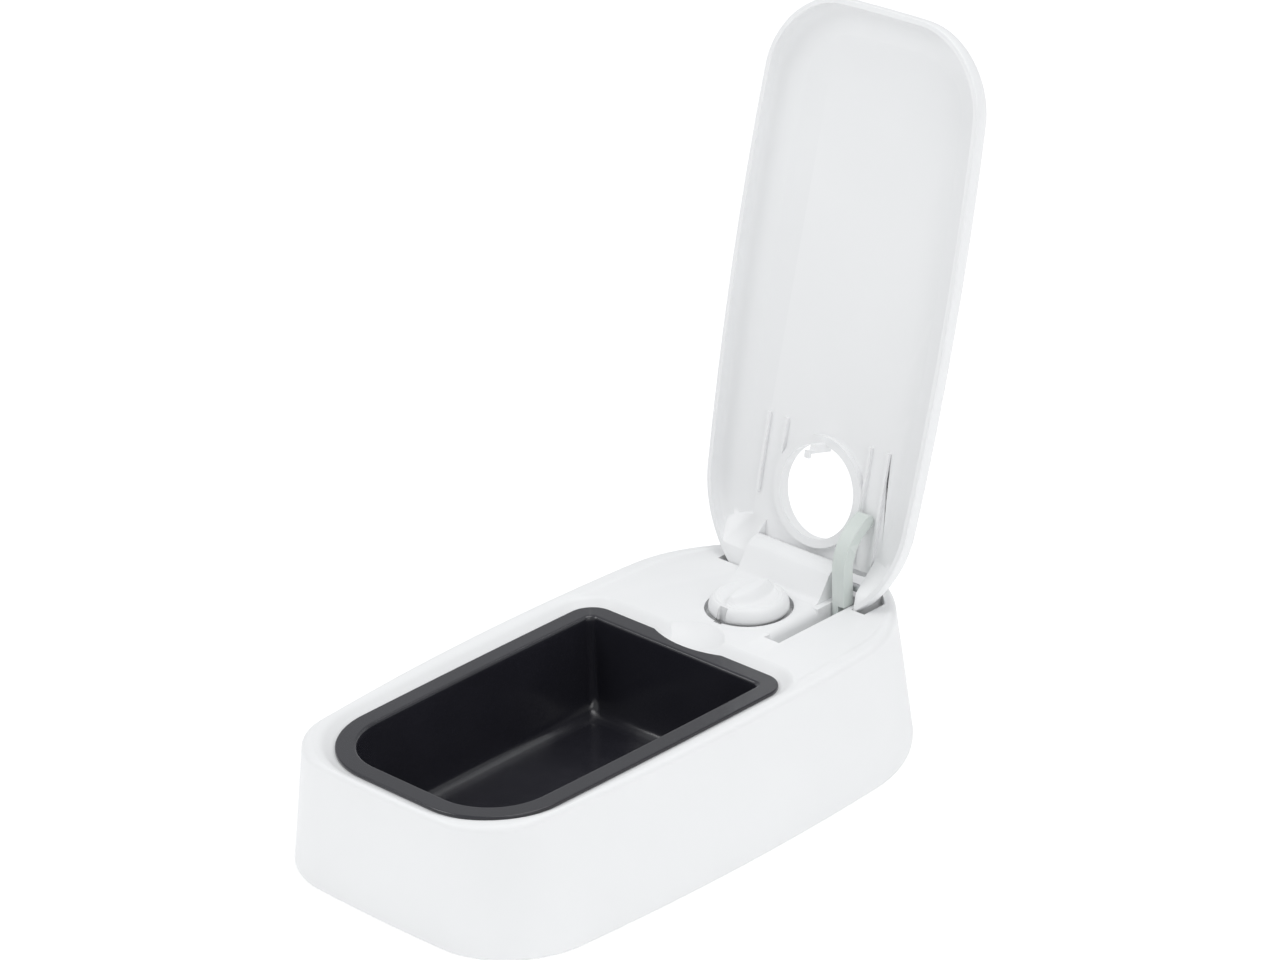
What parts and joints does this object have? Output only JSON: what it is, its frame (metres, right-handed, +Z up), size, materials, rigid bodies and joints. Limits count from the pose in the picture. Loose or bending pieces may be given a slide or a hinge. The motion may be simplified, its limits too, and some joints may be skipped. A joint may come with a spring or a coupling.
{
  "type": "automatic pet feeder",
  "caption": "Low oblong feeder with one bowl, a dished lid that springs open at the rear on a pin, and a timer knob that latches it.",
  "frame": {"origin": "middle of the footprint on the plane of the flat underside", "axes": "+Z up, -Y towards the bowl end, +Y towards the hinge, +X to the right side seen from the bowl end"},
  "size_m": [0.1364, 0.2667, 0.2503],
  "materials": {
    "white_plastic": "moulded white ABS with a fine satin grain",
    "grey_plastic": "matt light grey moulding",
    "bowl_plastic": "glossy black moulding",
    "lever_plastic": "light grey-green acetal",
    "dark_plastic": "dark moulding inside the base",
    "gear_plastic": "natural nylon",
    "rubber": "soft matt rubber",
    "steel": "bright drawn steel",
    "copper": "enamelled copper wire",
    "circuit": "green solder resist",
    "cell": "plain sleeve with no print"
  },
  "bodies": {
    "base": {"base_housing": "white_plastic", "base_plate": "grey_plastic", "rubber_pads": "rubber", "base_screws": "steel", "bowl": "bowl_plastic", "hinge_pin": "steel", "lever_pin": "steel", "movement_case": "dark_plastic", "movement_cover": "dark_plastic", "movement_screws": "steel", "stator": "steel", "coil": "copper", "circuit_board": "circuit", "battery": "cell", "battery_spring": "steel", "battery_plate": "steel"},
    "lid": {"lid": "white_plastic"},
    "lever": {"lever_arm": "lever_plastic", "lever_spring": "steel"},
    "knob": {"timer_knob": "white_plastic", "knob_spindle": "gear_plastic", "spindle_clip": "steel", "knob_wheel": "gear_plastic"},
    "middle_gear": {"middle_wheel": "gear_plastic"},
    "second_gear": {"second_wheel": "gear_plastic"},
    "rotor": {"rotor": "dark_plastic"},
    "door": {"battery_door": "grey_plastic"}
  },
  "joints": [
    {"name": "lid_hinge", "type": "hinge", "parent": "base", "child": "lid", "pos_m": [0, 0.0925, 0.0522], "axis": [1, 0, 0], "range_deg": [0, 104.5], "stiffness_Nm_per_rad": 0.03, "springref_deg": -22.92},
    {"name": "lever_pivot", "type": "hinge", "parent": "base", "child": "lever", "pos_m": [0.0238, 0.0887, 0.0423], "axis": [1, 0, 0], "range_deg": [0, 94.05]},
    {"name": "knob_turn", "type": "hinge", "parent": "base", "child": "knob", "pos_m": [0, 0.0645, 0.0435], "axis": [0, 0, 1], "range_deg": [-330, 0]},
    {"name": "middle_spin", "type": "hinge", "parent": "base", "child": "middle_gear", "pos_m": [-0.01358, 0.05092, 0.022], "axis": [0, 0, 1], "range_deg": [0, 990]},
    {"name": "second_spin", "type": "hinge", "parent": "base", "child": "second_gear", "pos_m": [-0.02018, 0.06236, 0.021], "axis": [0, 0, 1], "range_deg": [-2640, 0]},
    {"name": "rotor_spin", "type": "hinge", "parent": "base", "child": "rotor", "pos_m": [-0.02018, 0.07236, 0.022], "axis": [0, 0, 1], "range_deg": [0, 7920]},
    {"name": "door_slide", "type": "slide", "parent": "base", "child": "door", "axis": [0, -1, 0], "range_m": [0, 0.008]}
  ],
  "couplings": [
    {"joint": "lever_pivot", "follows": "lid_hinge", "ratio": 0.9},
    {"joint": "middle_spin", "follows": "knob_turn", "ratio": -3},
    {"joint": "second_spin", "follows": "knob_turn", "ratio": 8},
    {"joint": "rotor_spin", "follows": "knob_turn", "ratio": -24}
  ]
}
